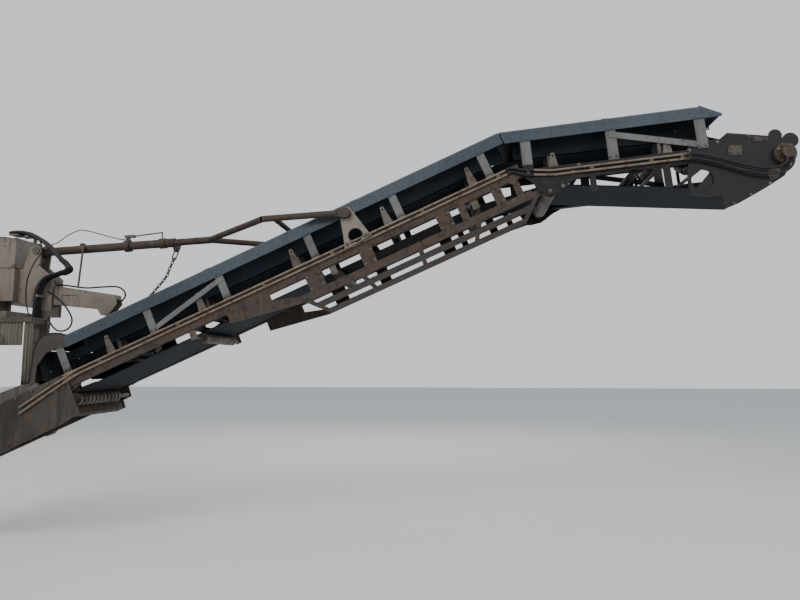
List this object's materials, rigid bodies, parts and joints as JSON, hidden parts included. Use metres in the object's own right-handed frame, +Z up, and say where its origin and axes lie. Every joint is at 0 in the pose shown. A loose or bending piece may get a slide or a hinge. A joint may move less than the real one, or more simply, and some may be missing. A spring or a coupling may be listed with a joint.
{
  "type": "folding discharge conveyor of a road milling machine",
  "caption": "Covered truck-loading belt conveyor with a fold near its head, on a swing yoke, held up by a lift cylinder and wishbone stay",
  "frame": {"origin": "centre of the mounting frame's rear face, on the conveyor's centre plane", "axes": "+X forward, from the mounting face towards the discharge head; +Z up; +Y to the left of the run"},
  "size_m": [8.1296, 1.316, 3.3014],
  "materials": {
    "frame_cream": "worn cream paint, dirt and rust",
    "rusty_paint": "paint mostly rusted through",
    "pale_paint": "dull pale grey paint",
    "black_paint": "oily black",
    "pipe_paint": "tan paint with rust",
    "galvanised": "weathered sheet, blue grey",
    "bare_steel": "bare steel with a rust bloom",
    "belt_rubber": "black conveyor rubber, dusty",
    "hose_rubber": "black hose",
    "curtain_rubber": "dusty pleated rubber curtain",
    "hood_rubber": "glossy brown rubber"
  },
  "bodies": {
    "bracket": {"mount_frame": "frame_cream", "kingpin_arms": "frame_cream", "kingpins": "bare_steel"},
    "mast": {"yoke_beam": "frame_cream", "yoke_legs": "frame_cream", "luff_bearings": "bare_steel", "mast_plates": "frame_cream", "mast_pin": "bare_steel", "hose_arm": "frame_cream", "transfer_curtain": "curtain_rubber", "curtain_rail": "bare_steel", "mast_hoses": "hose_rubber"},
    "lift_barrel": {"lift_barrel": "rusty_paint", "barrel_fittings": "bare_steel"},
    "lift_rod": {"lift_rod": "bare_steel", "wishbone": "rusty_paint", "stay_chain": "bare_steel"},
    "main": {"main_side_near": "rusty_paint", "main_side_far": "rusty_paint", "main_cross_members": "rusty_paint", "cover_posts_main": "pale_paint", "stay_brackets": "frame_cream", "main_cover": "galvanised", "main_skirts": "belt_rubber", "main_idlers": "bare_steel", "main_return_rollers": "bare_steel", "main_belt": "belt_rubber", "tail_plates": "frame_cream", "tail_hopper": "hood_rubber", "tail_hood": "hood_rubber", "belly_guard": "rusty_paint", "main_pipes": "pipe_paint", "luff_pins": "bare_steel"},
    "tip": {"tip_side_near": "black_paint", "tip_side_far": "black_paint", "tip_cross_members": "black_paint", "cover_posts_tip": "pale_paint", "tip_cover": "galvanised", "tip_skirts": "belt_rubber", "tip_idlers": "bare_steel", "tip_return_rollers": "bare_steel", "tip_belt": "belt_rubber", "head_plates": "black_paint", "head_motors": "rusty_paint", "tip_pipes": "pipe_paint"},
    "head_drum": {"head_drum": "bare_steel"},
    "tail_drum": {"tail_drum": "bare_steel"}
  },
  "joints": [
    {"name": "slew", "type": "hinge", "parent": "bracket", "child": "mast", "pos_m": [0.8, 0, 0], "axis": [0, 0, 1], "range_deg": [-40, 40]},
    {"name": "luff", "type": "hinge", "parent": "mast", "child": "main", "pos_m": [0.93, 0, -0.738], "axis": [0, -1, 0], "range_deg": [-20, 0]},
    {"name": "fold", "type": "hinge", "parent": "main", "child": "tip", "pos_m": [6.05106, 0, 1.35667], "axis": [0, 1, 0], "range_deg": [0, 130]},
    {"name": "barrel_tilt", "type": "hinge", "parent": "mast", "child": "lift_barrel", "pos_m": [1.19, 0, 1.03], "axis": [0, -1, 0], "range_deg": [-20.8, 0.3]},
    {"name": "rod_slide", "type": "slide", "parent": "lift_barrel", "child": "lift_rod", "axis": [0.9986, 0, 0.0524], "range_m": [-0.004, 0.63]},
    {"name": "head_spin", "type": "hinge", "parent": "tip", "child": "head_drum", "pos_m": [7.98278, 0, 1.60898], "axis": [0, 1, 0], "continuous": true},
    {"name": "tail_spin", "type": "hinge", "parent": "main", "child": "tail_drum", "pos_m": [0.54104, 0, -0.87255], "axis": [0, 1, 0], "continuous": true}
  ],
  "couplings": [
    {"joint": "barrel_tilt", "follows": "luff", "ratio": 1.025},
    {"joint": "rod_slide", "follows": "luff", "m_per_rad": -1.7709}
  ]
}
